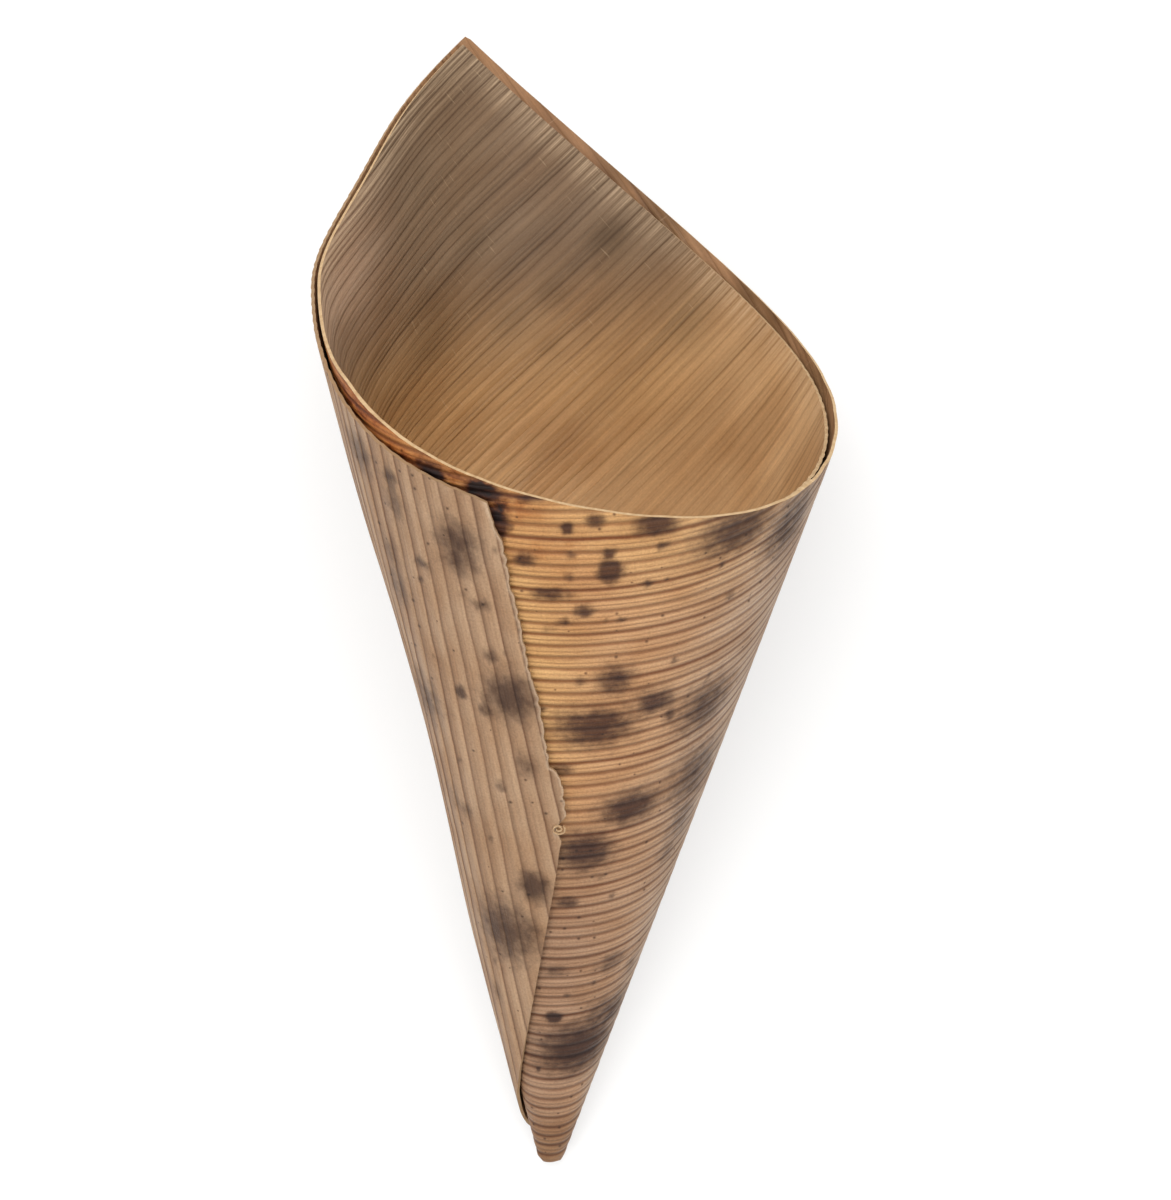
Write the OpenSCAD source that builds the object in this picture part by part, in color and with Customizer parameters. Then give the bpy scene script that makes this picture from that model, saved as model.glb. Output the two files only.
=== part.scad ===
// Finger food cone: one sheet of dried leaf, rolled up into a pointed open cone.
// The sheet is first laid out flat. Its ribs run along the first flat axis, and
// the point that it is rolled about is the origin. The sheet reaches past the
// point on both sides, so the cone has two layers nearly everywhere.
// Rolled up, a distance from the point runs along a straight line of the cone,
// and the angle about it runs round: front, left, back, right, next layer in.

/* [Leaf] */
// Thickness of the leaf between two ribs, mm
leaf_thickness = 0.40; // [0.30:0.05:0.45]
// Distance from one rib to the next, mm
rib_pitch = 3.0; // [2.8:0.1:5.0]
// Height of a strong rib above its groove, mm
rib_height = 0.22; // [0.05:0.01:0.26]
// Height of a weak rib as a share of a strong one
weak_rib = 0.55; // [0.2:0.05:1]
// Direction of the ribs in the flat from the front line of the flap, degrees
rib_angle = 12; // [9:0.5:15]

/* [Natural edges, along the ribs] */
// Free edge of the flap: distance below the point, mm
free_edge_reach = 14.0; // [11:0.2:17]
// Edge at the left and back of the mouth: distance above the point, mm
back_edge_reach = 120.5; // [112:0.5:122]
// Depth of the long waves of the free edge, mm
wave_depth = 0.5; // [0:0.05:0.7]
// Length of a long wave, mm
wave_length = 15; // [12:0.5:30]
// Depth of the torn notch near the lower end of the free edge, mm
notch_depth = 1.1; // [0.2:0.1:1.3]
// Distance of the notch from the lower end of the free edge, mm
notch_at = 3; // [2.5:0.5:8]

/* [Cut edges: distance from the point and direction of the square] */
// Long cut, the rim of the mouth: distance, mm
rim_reach = 110.7; // [104:0.1:116]
// Long cut, the rim of the mouth: direction from the ribs, degrees
rim_angle = 75.8; // [74:0.2:79]
// Top of the flap: distance, mm
flap_reach = 109.5; // [102:0.1:112]
// Top of the flap: direction from the ribs, degrees
flap_angle = -21.2; // [-26:0.2:-16]
// Outer layer at the left and back of the mouth: distance, mm
side_reach = 119.6; // [112:0.1:122]
// Outer layer at the left and back of the mouth: direction from the ribs, degrees
side_angle = -9.2; // [-11:0.2:-5]
// Inner layer at the right and back of the mouth: distance, mm
inner_reach = 109.6; // [104:0.1:112]
// Inner layer at the right and back of the mouth: direction from the ribs, degrees
inner_angle = 174; // [172:0.2:178]
// Long cut at the bottom, which leaves the tip blunt: distance, mm
tip_reach = 6.4; // [6:0.1:9]
// Long cut at the bottom: direction from the ribs, degrees
tip_angle = 72.4; // [70:0.2:75]
// Long cut at the bottom, on the side of the inner layer: direction from the ribs, degrees
tail_angle = 84; // [80:0.5:86]

/* [Roll] */
// Mean angle between the axis and a straight line of the cone, degrees
half_angle = 15.8; // [15:0.1:17]
// Extra lean toward two opposite headings, degrees
oval_lean = 0.25; // [-0.8:0.05:0.8]
// Heading of the oval, 0 front and 90 left, degrees
oval_heading = 160; // [90:5:180]
// Extra lean toward three headings, degrees
corner_lean = 0.44; // [0:0.02:0.7]
// Heading of one of the three, degrees
corner_heading = 23; // [0:1:60]
// Extra lean toward four headings, degrees
square_lean = 0.34; // [0:0.02:0.6]
// Heading of one of the four, degrees
square_heading = 49; // [30:1:80]
// Distance from one layer to the next, mm for each turn
layer_pitch = 0.85; // [0.8:0.05:1.1]
// Turn of the roll that lies on the cone of the lean, counted from the front
middle_turn = 0.73; // [0.4:0.01:0.9]
// Flat facets in one turn
facets = 28; // [24:1:30]

/* [Dents of the roll] */
// Depth of the hollow at the left between mouth and tip, mm
waist_depth = 1.5; // [0:0.1:1.8]
// Distance of the hollow at the left from the point, mm
waist_reach = 76; // [66:1:86]
// Depth by which the mouth leans in at its left and back, mm
lean_in_depth = 3.6; // [0:0.1:4]
// Distance of the place that leans in from the point, mm
lean_in_reach = 137; // [127:1:147]

/* [Rest] */
// Heading of the cone that lies on the ground, 180 is its back line, degrees
rest_heading = 170; // [160:1:190]
// How far the leaf is pressed flat where the cone lies on it, mm
flat_depth = 0.20; // [0.10:0.01:0.25]

/* [Hidden] */

// How the leaf rolls

table_steps = 120;
function lean(h) = half_angle + oval_lean * cos(2 * (h - oval_heading))
    + corner_lean * cos(3 * (h - corner_heading))
    + square_lean * cos(4 * (h - square_heading));
function ray(h) = let (q = lean(h)) [-sin(q) * sin(h), -sin(q) * cos(h), cos(q)];
function spread(p, q) = 2 * asin(norm(p - q) / 2);

// Heading of a dent, and how far it spreads to each side and along the cone
waist_heading = 91;
waist_width = 57;
waist_length = 37;
lean_in_heading = 129;
lean_in_width = 38;
lean_in_length = 37;
function hump(v, middle, size) = abs(v - middle) < size
    ? pow(cos(90 * (v - middle) / size), 2) : 0;
// How far the dents move the leaf inward at a heading and a distance from the point
function dent(h, s) = waist_depth * hump(h, waist_heading, waist_width)
        * hump(s, waist_reach, waist_length)
    + lean_in_depth * hump(h, lean_in_heading, lean_in_width)
        * hump(s, lean_in_reach, lean_in_length);

// Pairs of the flat angle rolled up so far and the heading reached with it
heading_table = [for (i = 0, h = 0, sum = 0; i <= table_steps;
    sum = sum + spread(ray(h), ray(h + 360 / table_steps)),
    h = h + 360 / table_steps, i = i + 1) [sum, h]];
turn_angle = heading_table[table_steps][0];
fold_angle = turn_angle / facets;
function heading(swept) = lookup(swept - turn_angle * floor(swept / turn_angle),
    heading_table);
fold_rays = [for (i = [0:facets - 1]) ray(heading(i * fold_angle))];
function fold_ray(i) = fold_rays[(i % facets + facets) % facets];

// Flat angle of a flat point, and its place on the cone with an offset outward
function flat_angle(p) = rib_angle + atan2(p[1], p[0]);
function rolled(p, out) = let (
    swept = flat_angle(p), i = floor(swept / fold_angle),
    r1 = fold_ray(i), r2 = fold_ray(i + 1),
    part = swept / fold_angle - i,
    along = r1 * sin((1 - part) * fold_angle) + r2 * sin(part * fold_angle),
    face = cross(r1, r2), square = face / norm(face))
    norm(p) * along / sin(fold_angle)
    + (out - dent(heading(swept), norm(p))
        - layer_pitch * (swept / turn_angle - middle_turn)) * square;

// Outline of the flat sheet

function edge_a(b, reach, angle) = (reach - b * sin(angle)) / cos(angle);
function row_right(b) = min(edge_a(b, flap_reach, flap_angle),
    edge_a(b, side_reach, side_angle), edge_a(b, rim_reach, rim_angle));
function row_left(b) = max(edge_a(b, inner_reach, inner_angle),
    min(edge_a(b, tip_reach, tip_angle), edge_a(b, tip_reach, tail_angle)));

row_count = 2 * round((free_edge_reach + back_edge_reach) / rib_pitch);
row_step = (free_edge_reach + back_edge_reach) / row_count;
// A fold is left out where it comes this close to an edge, mm
edge_clearance = 0.8;
// Points along the waves of the free edge, and how the waves are shaped
wave_points = 28;
small_wave = 0.45;
wave_fade = 5;
notch_width = 4;

function wave(t, length) = wave_depth * (sin(360 * t / wave_length)
    + small_wave * sin(360 * t / wave_length / small_wave + 60))
    * min(1, t / wave_fade, (length - t) / wave_fade)
    + notch_depth * max(0, 1 - 2 * abs(t - notch_at) / notch_width);
function free_row(b) = let (a1 = row_left(b), a2 = row_right(b), length = a2 - a1)
    [for (i = [0:wave_points]) let (t = length * (1 - i / wave_points))
        [a1 + t, b + wave(t, length)]];
function plain_row(b) = let (a1 = row_left(b), a2 = row_right(b),
    first = ceil(min(flat_angle([a1, b]), flat_angle([a2, b])) / fold_angle),
    last = floor(max(flat_angle([a1, b]), flat_angle([a2, b])) / fold_angle),
    found = [for (i = [first:1:last])
        let (a = b / tan(i * fold_angle - rib_angle))
        if (a > a1 + edge_clearance && a < a2 - edge_clearance) [a, b]],
    n = len(found))
    concat([[a2, b]], [for (i = [0:1:n - 1]) found[b > 0 ? i : n - 1 - i]],
        [[a1, b]]);
rows = [for (k = [0:row_count])
    let (b = k * row_step - free_edge_reach) k == 0 ? free_row(b) : plain_row(b)];
starts = [for (k = 0, n = 0; k <= row_count + 1;
    n = n + (k <= row_count ? len(rows[k]) : 0), k = k + 1) n];
face_points = starts[row_count + 1];

// Ribs: each second row is a groove, and strong and weak ribs take turns between
function rib(k) = rib_height * (k % 2 == 0 ? -0.5 : k % 4 == 1 ? 0.5 : weak_rib - 0.5);
function face(side) = [for (k = [0:row_count]) for (p = rows[k])
    rolled(p, side * leaf_thickness / 2 + rib(k))];

// Triangles between two rows, zipped up from the flap end to the inner end:
// each step goes on along the row whose next point comes first
function place(p, above) = above ? flat_angle(p) : -p[0];
function lower_next(r, q, i, j, above) = j == len(q) - 1 || (i < len(r) - 1
    && place(r[min(i + 1, len(r) - 1)], above) < place(q[min(j + 1, len(q) - 1)], above));
function zipped(k) = let (r = rows[k], q = rows[k + 1], above = k > 0 && r[0][1] > 0)
    [for (i = 0, j = 0; i + j < len(r) + len(q) - 2;
        low = lower_next(r, q, i, j, above), i = low ? i + 1 : i, j = low ? j : j + 1)
        lower_next(r, q, i, j, above)
            ? [starts[k] + i, starts[k] + i + 1, starts[k + 1] + j]
            : [starts[k] + i, starts[k + 1] + j + 1, starts[k + 1] + j]];
triangles = [for (k = [0:row_count - 1]) each zipped(k)];

// The rim of the flat sheet as one closed ring of points
ring = concat([for (i = [0:len(rows[0]) - 1]) i],
    [for (k = [1:row_count - 1]) starts[k + 1] - 1],
    [for (i = [len(rows[row_count]) - 1:-1:0]) starts[row_count] + i],
    [for (k = [row_count - 1:-1:1]) starts[k]]);
ring_points = len(ring);

// How the cone lies: one facet of its back flat on the ground, mouth toward +Y

rest_fold = floor(lookup(rest_heading, [for (t = heading_table) [t[1], t[0]]])
    / fold_angle);
rest_square = cross(fold_ray(rest_fold), fold_ray(rest_fold + 1));
up_axis = -rest_square / norm(rest_square);
mouth_sum = fold_ray(rest_fold) + fold_ray(rest_fold + 1);
mouth_axis = mouth_sum / norm(mouth_sum);
right_axis = cross(mouth_axis, up_axis);
lying = [for (p = concat(face(1), face(-1)))
    [p * right_axis, p * mouth_axis, p * up_axis]];
function middle(v) = (min(v) + max(v)) / 2;
ground = [middle([for (p = lying) p[0]]), middle([for (p = lying) p[1]]),
    min([for (p = lying) p[2]]) + flat_depth];
pressed = [for (p = lying) [p[0], p[1], max(p[2], ground[2])]];

module rolled_leaf() {
    color([0.70, 0.56, 0.40])
    translate(-ground)
    polyhedron(points = pressed,
        faces = concat(triangles,
            [for (t = triangles) [t[2] + face_points, t[1] + face_points,
                t[0] + face_points]],
            [for (i = [0:ring_points - 1]) let (u = ring[i],
                v = ring[(i + 1) % ring_points]) [u, u + face_points, v]],
            [for (i = [0:ring_points - 1]) let (u = ring[i],
                v = ring[(i + 1) % ring_points]) [v, u + face_points,
                v + face_points]]));
}

rolled_leaf();
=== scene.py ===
# %% [markdown]
# Finger food cone, rolled from one sheet of dried bamboo sheath. The sheath is the
# papery leaf that wraps a young bamboo stem: it has raised ribs along its length,
# brown blotches on its outer face and a plain, paler inner face.
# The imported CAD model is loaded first. It is the frame that everything is built in,
# in metres, and it says how large the cone may be.

# %% Load the frame
import math

import bpy
import numpy as np
from mathutils import Matrix, Vector


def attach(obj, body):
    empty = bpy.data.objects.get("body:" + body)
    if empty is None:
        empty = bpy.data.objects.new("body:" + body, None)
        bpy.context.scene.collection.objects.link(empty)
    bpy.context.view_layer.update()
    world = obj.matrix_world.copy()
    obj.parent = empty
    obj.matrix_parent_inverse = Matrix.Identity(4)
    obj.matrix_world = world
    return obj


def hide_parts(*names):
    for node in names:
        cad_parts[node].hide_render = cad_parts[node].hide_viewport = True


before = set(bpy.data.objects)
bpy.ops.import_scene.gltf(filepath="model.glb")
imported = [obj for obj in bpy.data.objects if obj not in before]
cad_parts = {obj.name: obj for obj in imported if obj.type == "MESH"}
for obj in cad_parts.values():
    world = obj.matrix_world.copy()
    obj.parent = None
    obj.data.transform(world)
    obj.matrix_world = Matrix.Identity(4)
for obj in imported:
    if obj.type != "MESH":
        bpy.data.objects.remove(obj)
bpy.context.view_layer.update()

# %% [markdown]
# How the leaf is rolled. A cut sheet that is bent without stretching can only be a
# flat, a cylinder or a cone, so the cone is built the way the real one is made: each
# point of the flat sheet is carried to its place on the rolled shape. A simulation of
# bending could do this too, but the rolled shape is known, and this way keeps it exact.
# Flat places are in millimetres from the point that the sheet is rolled about. "along"
# runs along the ribs and "across" runs across them.

# %% Roll: the straight lines of the cone
MM = 0.001
RIB_ANGLE = math.radians(12)
LAYER_PITCH = 0.85
MIDDLE_TURN = 0.73
LEAF_THICKNESS = 0.40
TURN_STEPS = 720
HALF_ANGLE = 15.8
# Swing of the half angle in degrees, times that it repeats in a turn, heading of its top
ROUNDNESS = ((0.25, 2, 160), (0.44, 3, 23), (0.34, 4, 49))


def lean(heading):
    """Angle between the cone's axis and its straight line at a heading, radians."""
    degrees = np.degrees(heading)
    swings = [swing * np.cos(np.radians(times * (degrees - top)))
              for swing, times, top in ROUNDNESS]
    return np.radians(HALF_ANGLE + sum(swings))


def straight_line(heading):
    """Direction of the cone's straight line at a heading, 0 front and 90 degrees left."""
    q = lean(heading)
    return np.stack([-np.sin(q) * np.sin(heading), -np.sin(q) * np.cos(heading),
                     np.cos(q)], axis=-1)


headings = np.linspace(0, 2 * math.pi, TURN_STEPS + 1)
lines = straight_line(headings)
steps = 2 * np.arcsin(np.linalg.norm(np.diff(lines, axis=0), axis=1) / 2)
rolled_angle = np.concatenate([[0], np.cumsum(steps)])
TURN = rolled_angle[-1]
print("flat angle of one turn, degrees:", round(math.degrees(TURN), 2))

# %% [markdown]
# The cone can't stand, so it lies on its back line with the mouth toward +Y, as the
# CAD model does. Where the round back would sink into the table, the leaf is pressed
# flat by a fraction of a millimetre, as a springy leaf is under its own weight.

# %% Roll: from the flat sheet to the lying cone
LYING = np.array([[0.999008, -0.0129021, 0.0426285],
                  [-0.0376009, 0.268664, 0.9625],
                  [-0.023871, -0.963148, 0.267912]])
LYING_POINT = np.array([3.53783, 80.8798, -0.335857])
# Depth in mm, heading and its reach in degrees, distance from the tip and its reach in mm
WAIST = (1.5, 91, 57, 76, 37)
LEAN_IN = (3.6, 129, 38, 137, 37)
CLEARANCE = 0.02


def flat_angle(along, across):
    """Angle on the flat sheet from the start of the roll, radians."""
    return RIB_ANGLE + np.arctan2(across, along)


def hump(value, middle, reach):
    """1 in the middle, and falling softly to 0 at a reach from it."""
    return np.cos(np.clip((value - middle) / reach, -1, 1) * math.pi / 2) ** 2


def dent(heading, distance):
    """How far the leaf is pushed in, mm: a waist at the left, and the mouth's far lean."""
    degrees = np.degrees(heading)
    return sum(depth * hump(degrees, middle, side) * hump(distance, far, reach)
               for depth, middle, side, far, reach in (WAIST, LEAN_IN))


def rolled(along, across, out):
    """Place on the lying cone, in metres, of flat points moved outward by out mm."""
    angle = flat_angle(along, across)
    heading = np.interp(np.mod(angle, TURN), rolled_angle, headings)
    line = straight_line(heading)
    square = np.cross(line, straight_line(heading + 0.001))
    square /= np.linalg.norm(square, axis=-1, keepdims=True)
    distance = np.hypot(along, across)
    outward = out - dent(heading, distance) - LAYER_PITCH * (angle / TURN - MIDDLE_TURN)
    place = (line * distance[..., None] + square * outward[..., None]) @ LYING.T - LYING_POINT
    outermost = LAYER_PITCH * np.floor(angle / TURN) + LEAF_THICKNESS / 2 - out
    below = place[..., 2] + outermost * (square @ LYING.T)[..., 2]
    place[..., 2] += np.maximum(0, CLEARANCE - below)
    return place * MM


print("front of the rim, mm:", np.round(rolled(110.0, 0.0, 0.2) / MM, 1))

# %% [markdown]
# The outline of the flat sheet. Two long edges are the leaf's own, along the ribs, and
# the others are straight cuts. Each cut is given by its distance from the roll point
# and the direction square to it, which is how a template for a cone is drawn.

# %% Outline of the sheet
FREE_EDGE = 14.0
BACK_EDGE = 120.5
# Straight cuts: distance in mm and direction in degrees
INNER_CUT, TIP_CUT, TAIL_CUT = (109.6, 174), (6.4, 72.4), (6.4, 84)
FLAP_CUT, SIDE_CUT, RIM_CUT = (109.5, -21.2), (119.6, -9.2), (110.7, 75.8)


def crossing(across, cut):
    """Where a straight cut crosses a rib that lies this far across."""
    distance, turned = cut[0], math.radians(cut[1])
    return (distance - across * math.sin(turned)) / math.cos(turned)


def depth_from(cut, along, across):
    """Distance in from a straight cut, mm."""
    distance, turned = cut[0], math.radians(cut[1])
    return distance - along * math.cos(turned) - across * math.sin(turned)


def rib_ends(across):
    """Both ends of a rib, mm along."""
    left = max(crossing(across, INNER_CUT),
               min(crossing(across, TIP_CUT), crossing(across, TAIL_CUT)))
    right = min(crossing(across, cut) for cut in (FLAP_CUT, SIDE_CUT, RIM_CUT))
    return left, right


print("free edge runs from", [round(v, 1) for v in rib_ends(-FREE_EDGE)], "mm")

# %% [markdown]
# The free edge of the flap is the dry margin of the leaf. It is thin and crumpled: it
# has small scallops, a torn bulge, and a notch close to its lower corner where a fibre
# has come loose. A few listed points give its line, and a short wave adds the
# scallops. The edge could be torn with a noise texture, but then the bulge and the
# notch would land in the wrong place.

# %% Torn margin of the flap
MARGIN_LINE = [(61.9, -13.35), (62.8, -13.75), (63.6, -12.95), (64.4, -12.45), (65.2, -12.75),
               (65.9, -13.85), (66.9, -14.40), (69.2, -14.45), (71.5, -14.75), (72.9, -14.45),
               (73.8, -14.15), (74.2, -13.70), (77.6, -13.85), (79.6, -13.95), (82.8, -14.15),
               (86.0, -14.20), (87.6, -13.85), (92.9, -14.00), (98.6, -14.05), (101.1, -13.85),
               (104.1, -14.10), (107.4, -14.00), (109.0, -13.50), (112.4, -13.25)]
SCALLOP_LENGTH = 2.4
SCALLOP_DEPTH = 0.24


def margin(along):
    """How far across the torn margin lies at a place along the ribs."""
    a, b = zip(*MARGIN_LINE)
    lumps = np.abs(np.sin(math.pi * (along + 0.5 * np.sin(along * 0.9)) / SCALLOP_LENGTH))
    return np.interp(along, a, b) + 0.14 - SCALLOP_DEPTH * lumps + 0.04 * np.sin(along * 5.1)


print("margin at 90 mm:", round(float(margin(90.0)), 2))

# %% [markdown]
# The ribs. They are about 1.75 mm apart, and wider apart near the free edge. Their count
# is worked out once for every point of the sheet and kept on the mesh, so that the relief
# of the mesh and the drawn lines of the finish always meet. Each rib is a round ridge
# between narrow grooves. On the inner face, the pleats fan out toward the back edge and
# run out over it at a small angle, and the relief there is low.

# %% Ribs
RIB_PITCH = 1.75
RIB_HEIGHT = 0.18
FAN_START = -100
FAN_LENGTH = 85
FAN_STRENGTH = 0.0013


def by_back_edge(across):
    """1 at the back edge of the leaf, and 0 from its middle on."""
    return np.clip((across - 65) / 55, 0, 1) ** 1.2


def rib_count(along, across):
    """Number of ribs from the roll point, whole at a groove."""
    return (across / RIB_PITCH + 1.9 * np.exp(-(across + FREE_EDGE) / 14)
            + 0.26 * np.sin(0.021 * along + 0.13 * across)
            + 0.13 * np.sin(0.047 * along - 0.31 * across + 1.7))


def fanned(along, across):
    """Ribs more that the fan of the inner face counts up to a point."""
    inward = np.clip(along - FAN_START, 0, FAN_LENGTH)
    return FAN_STRENGTH * (FAN_LENGTH ** 2 - inward ** 2) * by_back_edge(across)


def lap_share(along, across):
    """1 on the flap, where the ribs are laps, and 0 on the rest of the leaf."""
    turn = flat_angle(along, across) / TURN
    share = 1 - np.clip((turn - 0.35) / 0.2, 0, 1)
    return np.stack([share, share, share, np.ones_like(share)], axis=-1)


def rib_relief(count, laps):
    """Height of the ridge in mm, with each rib a little higher or lower."""
    ridge = np.abs(np.sin(math.pi * count)) ** 0.7 - 0.6
    lap = np.minimum(1 - count % 1, 6 * (count % 1)) - 0.5
    strength = 0.75 + 0.25 * np.sin(np.floor(count) * 2.4) * np.sin(np.floor(count) * 0.71)
    return RIB_HEIGHT * (ridge * (1 - laps) + lap * laps) * strength


print("ribs on the sheet:", round(float(rib_count(60, BACK_EDGE) - rib_count(60, -FREE_EDGE))))

# %% [markdown]
# Brown blotches. On the real sheath they are patches where a mould has coloured the
# skin. They are soft at the ends, follow the ribs, and no two are alike. The ones that
# the photo shows are listed as (along, across, half length, half width,
# strength); the hidden side gets the same kind at random places from a fixed seed. A
# strength above 1 is for the spots by the rim that are scorched almost black.

# %% Blotches on the second layer, under the rim
UNDER_RIM = [
    (8.9, 110.5, 0.9, 0.8, .8), (5.7, 109.6, 0.6, 0.7, .9), (-0.5, 109.3, 0.2, 0.3, .7),
    (15.9, 109.2, 1.9, 1.2, 1.0), (16.3, 106.1, 0.5, 0.6, .7), (26.0, 105.3, 4.1, 2.6, .8),
    (35.7, 100.8, 4.0, 3.8, .7), (0.7, 105.1, 1.0, 0.8, .8), (6.0, 106.0, 0.5, 0.5, .6),
    (10.3, 105.9, 0.6, 0.7, .8), (10.4, 103.5, 1.1, 1.3, 1.0), (5.8, 102.9, 0.5, 0.6, .5),
    (14.7, 101.1, 0.5, 0.6, .7), (17.0, 101.2, 0.2, 0.3, .6), (24.1, 100.9, 0.3, 0.3, .7),
    (3.5, 100.5, 1.8, 0.7, .8), (7.3, 98.1, 1.0, 0.7, .8), (5.1, 96.6, 0.5, 0.6, .7),
    (9.8, 96.6, 0.3, 0.4, .5), (11.7, 96.5, 0.4, 0.4, .6), (3.0, 95.6, 0.5, 0.6, .4),
    (25.6, 95.5, 0.6, 0.7, .5), (23.4, 96.1, 0.2, 0.3, .7), (10.7, 87.8, 1.7, 1.8, .8),
    (6.6, 88.0, 0.6, 0.7, .5), (14.3, 84.7, 1.9, 1.2, .5), (15.6, 83.3, 1.8, 1.4, .9),
    (17.6, 80.6, 0.7, 0.9, .7), (18.1, 88.9, 0.4, 0.5, .6), (23.3, 84.1, 0.4, 0.5, .6),
    (22.9, 79.3, 3.6, 3.2, .7), (8.2, 81.0, 3.6, 2.3, .9), (4.7, 82.3, 1.7, 1.2, .5),
    (1.9, 83.8, 0.3, 0.4, .8), (13.7, 79.3, 0.5, 0.6, .4), (3.9, 74.7, 1.1, 0.8, .7),
    (22.4, 67.8, 4.0, 4.1, .65), (-2.0, 109.9, 0.7, 1.9, 1.0), (-3.8, 113.6, 1.8, 1.2, 1.0),
    (-10.6, 114.6, 1.6, 1.2, 1.0), (1.6, 113.4, 1.4, 0.4, .8)]
print(len(UNDER_RIM), "blotches under the rim")

# %% Blotches lower down and on the flap
LOWER_FRONT = [
    (12.4, 67.5, 2.9, 2.1, .9), (6.6, 61.5, 2.6, 2.5, .9), (4.2, 53.4, 1.1, 0.8, .7),
    (9.8, 53.3, 0.4, 0.5, .5), (9.3, 59.8, 0.3, 0.3, .5), (8.6, 56.9, 0.3, 0.4, .5),
    (2.3, 41.7, 1.3, 0.9, .6), (9.8, 41.4, 1.6, 1.5, .6), (13.6, 37.9, 1.6, 2.2, .4),
    (7.3, 38.7, 0.3, 0.4, .6), (1.9, 33.6, 0.8, 0.8, 1.0), (9.4, 31.4, 3.3, 3.3, .7),
    (5.2, 27.5, 4.2, 3.7, .9), (-0.4, 23.9, 0.3, 0.4, .7), (20.9, 60.7, 2.4, 3.5, .55),
    (19.7, 67.2, 2.2, 2.2, .4), (18.4, 56.5, 1.4, 1.9, .5), (3.6, 37.4, 0.3, 0.4, .5)]
ON_FLAP = [
    (114.5, 5.5, 2.1, 2.2, .7), (113.4, -0.6, 1.0, 1.0, .7), (109.6, -0.2, 1.7, 1.3, .6),
    (106.6, -8.7, 2.1, 2.1, .8), (104.1, -8.6, 1.7, 1.9, .7), (102.5, -3.0, 0.6, 1.0, .7),
    (100.1, -2.2, 0.4, 0.4, .7), (102.2, 2.6, 1.8, 1.7, .5), (97.2, 2.9, 2.0, 1.7, .6),
    (105.8, -13.1, 0.5, 0.4, .5), (99.4, -7.9, 0.6, 0.8, .3), (98.1, -10.0, 0.6, 1.1, .6),
    (91.1, -9.7, 0.7, 0.8, .7), (91.4, -11.6, 0.4, 0.3, .5), (85.1, -11.0, 2.5, 2.3, .9),
    (85.0, -4.7, 0.7, 0.7, .9), (83.0, -7.6, 0.8, 0.8, .7), (87.9, -7.4, 0.2, 0.2, .7),
    (81.7, 2.2, 3.0, 2.6, .6), (74.9, -11.1, 1.5, 1.1, .6), (71.6, -7.3, 0.7, 0.6, .6),
    (74.3, -2.2, 0.4, 0.4, .6), (66.4, -1.3, 1.1, 0.8, .5), (67.6, 0.5, 1.6, 1.3, .4),
    (63.0, -4.3, 0.5, 0.4, .6), (89.2, -1.7, 0.3, 0.4, .6), (66.8, 0.5, 1.2, 1.1, .4),
    (55.9, -8.5, 1.8, 1.3, 1.0), (48.2, -3.4, 3.9, 2.9, .8), (48.4, -6.3, 2.5, 1.4, .7),
    (49.5, -0.8, 1.2, 1.2, .4), (42.3, -0.6, 0.5, 0.5, .6), (36.3, 0.4, 1.3, 0.8, .5)]
print(len(LOWER_FRONT), "lower down,", len(ON_FLAP), "on the flap")

# %% Blotches on the side that the photo hides
HIDDEN_BLOTCHES = 70
rng = np.random.default_rng(7)
HIDDEN_SIDE = []
while len(HIDDEN_SIDE) < HIDDEN_BLOTCHES:
    turn, distance = rng.uniform(0.28, 0.74), rng.uniform(12, 118) ** 0.75 * 3.4
    angle = turn * TURN - RIB_ANGLE
    size = 0.35 + 2.1 * rng.random() ** 3
    HIDDEN_SIDE.append((distance * math.cos(angle), distance * math.sin(angle),
                        size * rng.uniform(1.0, 1.7), size * rng.uniform(0.7, 1.0),
                        rng.uniform(0.5, 0.9)))
SCORCHED = [
    (-3.5, 112.3, 4.2, 1.8, 1.0), (-12.0, 115.0, 8.0, 1.6, 1.0),
    (-24.0, 118.5, 7.0, 1.8, 1.0), (-4.0, 113.9, 1.2, 0.9, 1.8),
    (-10.3, 114.5, 0.9, 0.6, 1.8), (-2.4, 111.2, 0.8, 1.3, 1.6),
    (-2.6, 109.0, 1.5, 3.5, .8), (2.0, 106.5, 5.0, 2.0, .5), (6.0, 101.0, 3.0, 3.0, .3)]
OUTER_BLOTCHES = np.array(UNDER_RIM + LOWER_FRONT + ON_FLAP + HIDDEN_SIDE)
INNER_SMUDGES = np.array([
    (-94.8, 88.3, 2.0, 2.0, .8), (-84.4, 88.5, 1.4, 1.4, .5), (-91.4, 86.6, 1.1, 1.1, .4),
    (-95.0, 72.9, 2.4, 2.4, .5), (-77.6, 89.9, 1.7, 1.6, .4), (-66.0, 96.2, 3.2, 2.8, .5),
    (-80.8, 101.2, 1.6, 1.5, .3), (-79.1, 112.2, 2.2, 1.7, .3), (-89.1, 88.8, 1.0, 0.9, .3),
    (-79.2, 83.6, 1.2, 1.2, .3), (108.0, 86.5, 2.0, 2.5, .8), (99.5, 88.0, 3.0, 2.5, 1.0),
    (84.0, 92.0, 2.0, 2.2, 1.0), (79.5, 93.5, 2.0, 2.0, .9), (66.5, 97.0, 3.0, 2.2, .7)])
print(len(OUTER_BLOTCHES), "blotches outside,", len(INNER_SMUDGES), "smudges inside")

# %% [markdown]
# The marks are painted on the points of the mesh: how dark a blotch is, how scorched,
# and how pale the dry fibres are. A painted mask keeps each mark in its place on the
# leaf when the sheet is rolled or exported. The finish adds the fine, soft breaking up
# of their edges.

# %% Paint: marks
SMALL_BLOTCH = 1.3


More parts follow.
